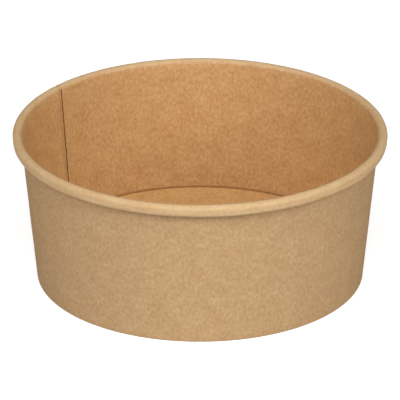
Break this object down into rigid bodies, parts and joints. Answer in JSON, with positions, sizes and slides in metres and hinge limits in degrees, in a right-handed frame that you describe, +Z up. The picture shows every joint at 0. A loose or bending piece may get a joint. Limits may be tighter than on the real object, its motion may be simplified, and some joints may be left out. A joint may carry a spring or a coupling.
{
  "type": "round paper salad bowl",
  "caption": "Round takeaway bowl of kraft board, with a lapped conical side wall, rolled rim, hemmed foot and recessed base disc.",
  "frame": {"origin": "centre of the foot, on the table", "axes": "+Z up, along the bowl's axis; the picture looks along +Y with +X to the right"},
  "size_m": [0.15, 0.15, 0.0625],
  "materials": {
    "wall_board": "matte kraft board, film-coated inside",
    "base_board": "satin film-coated kraft board"
  },
  "bodies": {
    "root": {"side_wall": "wall_board", "base_disc": "base_board"}
  },
  "joints": []
}
